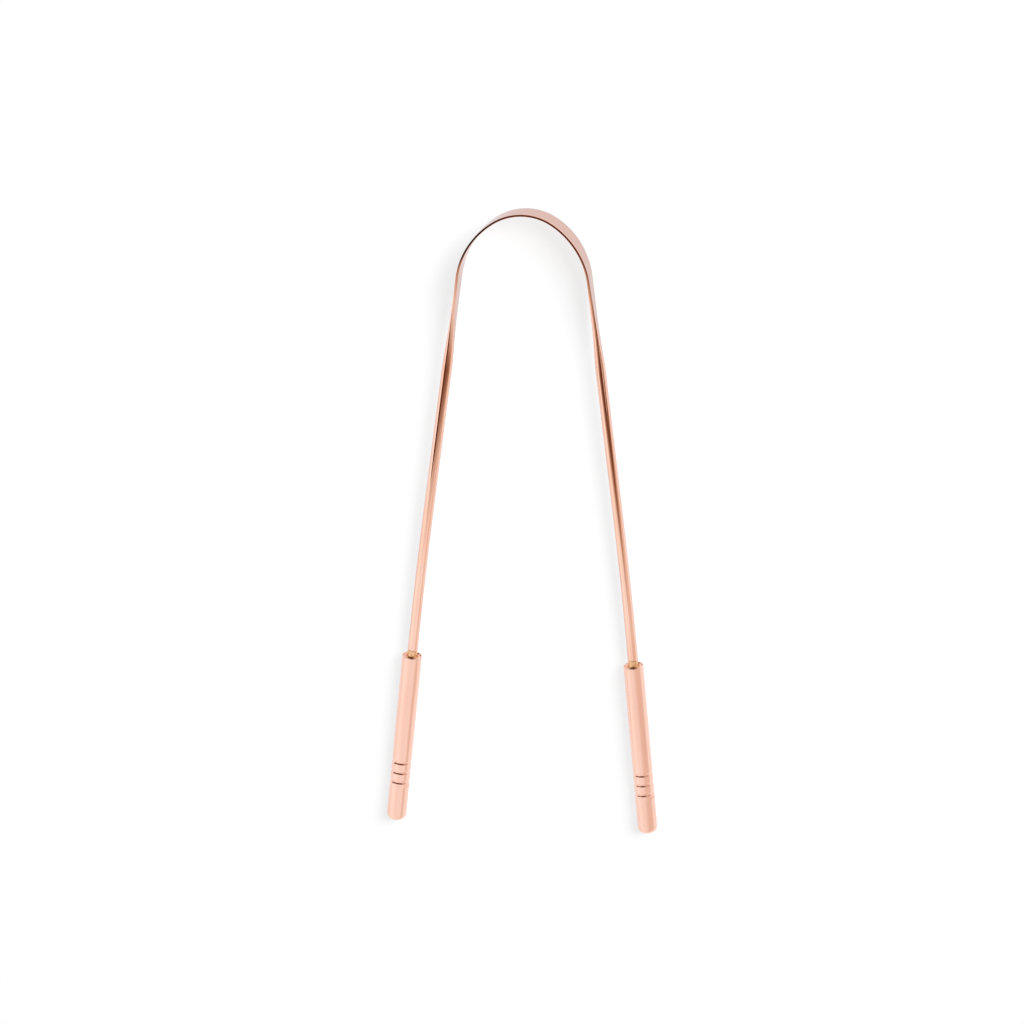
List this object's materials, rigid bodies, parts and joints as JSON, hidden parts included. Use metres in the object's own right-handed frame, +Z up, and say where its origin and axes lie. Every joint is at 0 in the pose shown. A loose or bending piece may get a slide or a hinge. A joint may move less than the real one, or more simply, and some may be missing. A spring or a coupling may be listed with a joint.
{
  "type": "tongue scraper",
  "caption": "U-shaped copper tongue scraper: a wire bow rolled flat across its crown into a scraping band, with a grooved round handle on each leg.",
  "frame": {"origin": "on the table under the middle of the scraper's box, as it lies on its side", "axes": "+Y from the handles to the crown of the bow, +X across the two legs, +Z up from the table"},
  "size_m": [0.066, 0.15, 0.0096],
  "materials": {
    "wire_copper": "polished copper",
    "handle_copper": "satin copper, brushed along the handle",
    "braze": "smooth brazing metal"
  },
  "bodies": {
    "root": {"bow": "wire_copper", "left_handle": "handle_copper", "right_handle": "handle_copper", "left_braze": "braze", "right_braze": "braze"}
  },
  "joints": []
}
